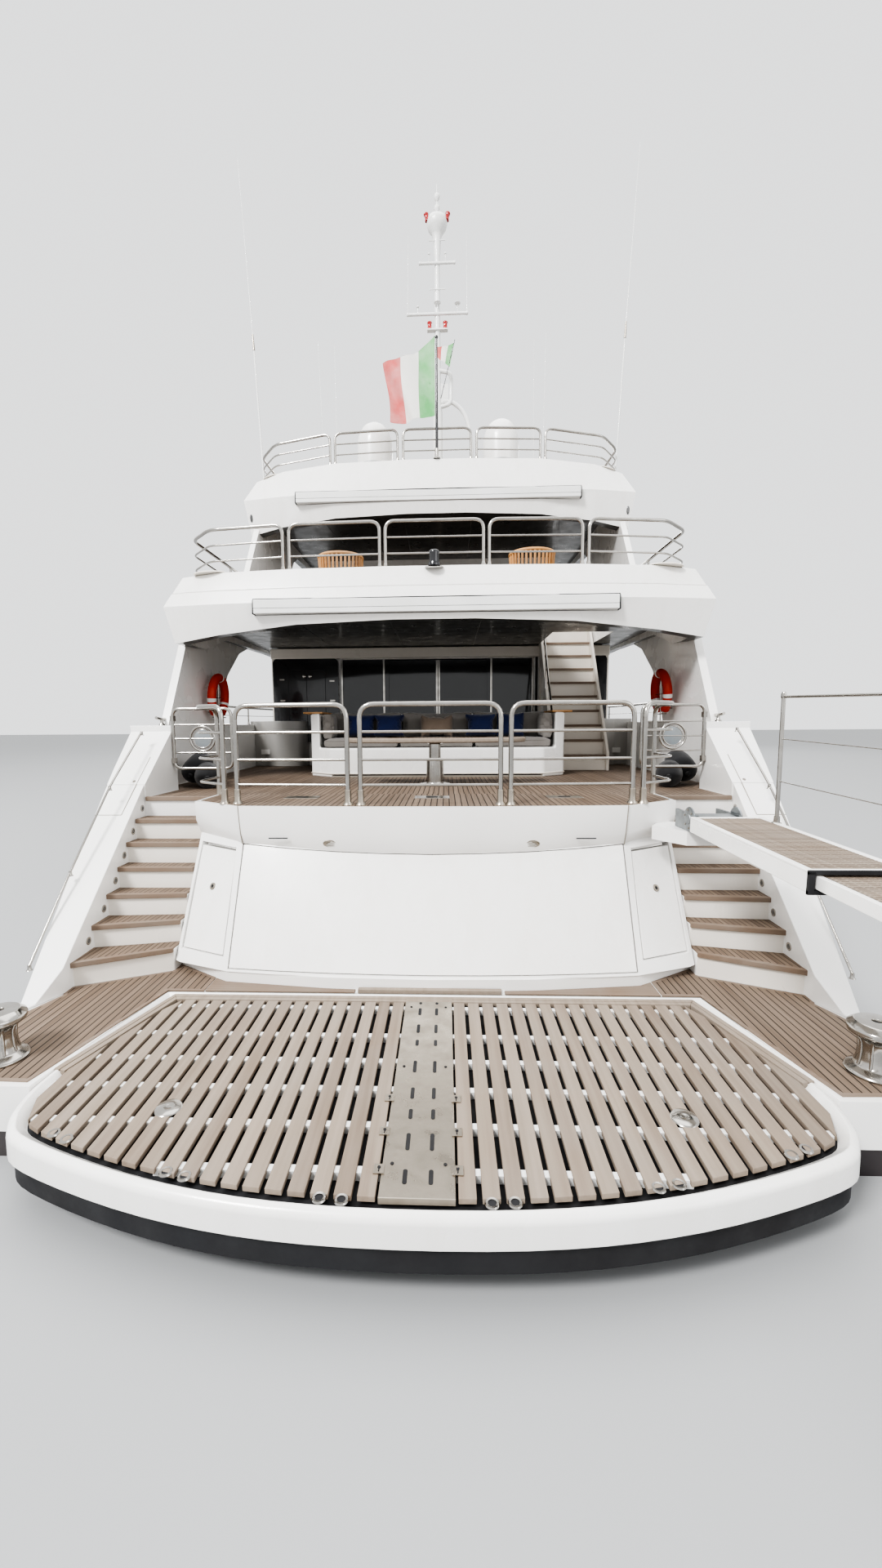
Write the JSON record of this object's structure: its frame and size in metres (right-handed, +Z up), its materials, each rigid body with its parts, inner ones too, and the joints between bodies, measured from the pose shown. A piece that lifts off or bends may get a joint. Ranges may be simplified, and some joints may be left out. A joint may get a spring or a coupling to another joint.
{
  "type": "motor yacht",
  "caption": "Three-deck motor yacht afloat with a lowering bathing platform, transom garage door, stern gates, gangway, propellers and rudders.",
  "frame": {"origin": "on the waterline amidships, on the centreline", "axes": "+Y towards the bow, +X to starboard, +Z up"},
  "size_m": [7.2, 36.4089, 14.47],
  "materials": {
    "gelcoat": "white moulded gelcoat",
    "teak": "weathered teak",
    "steel": "polished stainless steel",
    "dark_steel": "black lacquer",
    "dark_glass": "dark tinted glass",
    "bronze": "cast propeller bronze",
    "cushion": "grey outdoor fabric"
  },
  "bodies": {
    "boat": {"hull": "gelcoat", "bulwark_stbd": "gelcoat", "bulwark_port": "gelcoat", "stern_stair_stbd": "gelcoat", "stern_stair_port": "gelcoat", "anchor_stbd": "steel", "anchor_port": "steel", "main_house": "gelcoat", "main_side_glass_stbd": "dark_glass", "main_side_glass_port": "dark_glass", "saloon_frame": "dark_glass", "upper_deck": "gelcoat", "upper_coaming": "gelcoat", "upper_awning": "gelcoat", "upper_stair": "gelcoat", "upper_house": "gelcoat", "upper_house_front": "gelcoat", "upper_side_glass_stbd": "dark_glass", "upper_side_glass_port": "dark_glass", "windshield": "dark_glass", "upper_aft_glass": "dark_glass", "sun_deck": "gelcoat", "sun_awning": "gelcoat", "mast": "gelcoat", "satcom_dome_stbd": "gelcoat", "satcom_dome_port": "gelcoat", "flagstaff": "dark_steel", "upper_rail": "steel", "sun_rail": "steel", "main_rail": "steel", "stern_rail": "steel", "aft_sofa": "gelcoat", "aft_sofa_cushions": "cushion", "aft_table": "teak", "upper_chair_stbd": "teak", "upper_chair_port": "teak", "fly_console": "gelcoat", "fly_seat": "cushion", "windlass": "steel", "foredeck_sunpad": "cushion"},
    "propeller_stbd": {"propeller_stbd": "bronze"},
    "propeller_port": {"propeller_port": "bronze"},
    "rudder_stbd": {"rudder_stbd": "bronze"},
    "rudder_port": {"rudder_port": "bronze"},
    "garage_door": {"garage_door": "gelcoat"},
    "transom_door_stbd": {"transom_door_stbd": "gelcoat"},
    "transom_door_port": {"transom_door_port": "gelcoat"},
    "foredeck_hatch": {"foredeck_hatch": "dark_glass"},
    "bathing_platform": {"bathing_platform": "teak"},
    "capstan_stbd": {"capstan_stbd": "steel"},
    "capstan_port": {"capstan_port": "steel"},
    "saloon_door_stbd": {"saloon_door_stbd": "dark_glass"},
    "saloon_door_port": {"saloon_door_port": "dark_glass"},
    "wheelhouse_door_stbd": {"wheelhouse_door_stbd": "gelcoat"},
    "wheelhouse_door_port": {"wheelhouse_door_port": "gelcoat"},
    "stern_gate_stbd": {"stern_gate_stbd": "steel"},
    "stern_gate_port": {"stern_gate_port": "steel"},
    "gangway_turret": {"gangway_turret": "steel"},
    "gangway_inner": {"gangway_inner": "gelcoat"},
    "gangway_outer": {"gangway_outer": "gelcoat"}
  },
  "joints": [
    {"name": "propeller_stbd_spin", "type": "hinge", "parent": "boat", "child": "propeller_stbd", "pos_m": [1.25, -13.3, -1.4], "axis": [0, 0.9903, 0.1392], "continuous": true},
    {"name": "propeller_port_spin", "type": "hinge", "parent": "boat", "child": "propeller_port", "pos_m": [-1.25, -13.3, -1.4], "axis": [0, 0.9903, 0.1392], "continuous": true},
    {"name": "rudder_stbd_turn", "type": "hinge", "parent": "boat", "child": "rudder_stbd", "pos_m": [1.25, -14.55, -1.2], "axis": [0, 0, 1], "range_deg": [-35, 35]},
    {"name": "rudder_port_turn", "type": "hinge", "parent": "boat", "child": "rudder_port", "pos_m": [-1.25, -14.55, -1.2], "axis": [0, 0, 1], "range_deg": [-35, 35]},
    {"name": "garage_door_lift", "type": "hinge", "parent": "boat", "child": "garage_door", "pos_m": [0, -15.0546, 1.445], "axis": [-1, 0, 0], "range_deg": [0, 75]},
    {"name": "transom_door_stbd_swing", "type": "hinge", "parent": "boat", "child": "transom_door_stbd", "pos_m": [2.1914, -15.19982, 0.65], "axis": [0, 0.5255, 0.8508], "range_deg": [0, 40]},
    {"name": "transom_door_port_swing", "type": "hinge", "parent": "boat", "child": "transom_door_port", "pos_m": [-2.1914, -15.19982, 0.65], "axis": [0, -0.5255, -0.8508], "range_deg": [0, 40]},
    {"name": "foredeck_hatch_lift", "type": "hinge", "parent": "boat", "child": "foredeck_hatch", "pos_m": [0, 13.76, 4.012], "axis": [-1, 0, 0], "range_deg": [0, 70]},
    {"name": "bathing_platform_lower", "type": "slide", "parent": "boat", "child": "bathing_platform", "axis": [0, 0, -1], "range_m": [0, 0.9]},
    {"name": "capstan_stbd_turn", "type": "hinge", "parent": "boat", "child": "capstan_stbd", "pos_m": [2.74, -16.6, 0.6], "axis": [0, 0, 1], "continuous": true},
    {"name": "capstan_port_turn", "type": "hinge", "parent": "boat", "child": "capstan_port", "pos_m": [-2.74, -16.6, 0.6], "axis": [0, 0, 1], "continuous": true},
    {"name": "saloon_door_stbd_slide", "type": "slide", "parent": "boat", "child": "saloon_door_stbd", "axis": [1, 0, 0], "range_m": [0, 0.76]},
    {"name": "saloon_door_port_slide", "type": "slide", "parent": "boat", "child": "saloon_door_port", "axis": [-1, 0, 0], "range_m": [0, 0.78]},
    {"name": "wheelhouse_door_stbd_slide", "type": "slide", "parent": "boat", "child": "wheelhouse_door_stbd", "axis": [0, -1, 0], "range_m": [0, 0.8]},
    {"name": "wheelhouse_door_port_slide", "type": "slide", "parent": "boat", "child": "wheelhouse_door_port", "axis": [0, -1, 0], "range_m": [0, 0.8]},
    {"name": "stern_gate_stbd_swing", "type": "hinge", "parent": "boat", "child": "stern_gate_stbd", "pos_m": [2.3, -13.56, 2.45], "axis": [0, 0, 1], "range_deg": [0, 90]},
    {"name": "stern_gate_port_swing", "type": "hinge", "parent": "boat", "child": "stern_gate_port", "pos_m": [-2.3, -13.56, 2.45], "axis": [0, 0, -1], "range_deg": [0, 90]},
    {"name": "gangway_slew", "type": "hinge", "parent": "boat", "child": "gangway_turret", "pos_m": [2.33, -15.06, 1.8], "axis": [0, 0, 1], "range_deg": [0, 20]},
    {"name": "gangway_luff", "type": "hinge", "parent": "gangway_turret", "child": "gangway_inner", "pos_m": [2.33, -15.26, 1.8], "axis": [-1, 0, 0], "range_deg": [-4, 20]},
    {"name": "gangway_extend", "type": "slide", "parent": "gangway_inner", "child": "gangway_outer", "axis": [0, 0.9994, 0.0349], "range_m": [0, 1.18]}
  ],
  "couplings": [
    {"joint": "rudder_port_turn", "follows": "rudder_stbd_turn", "ratio": 1}
  ]
}
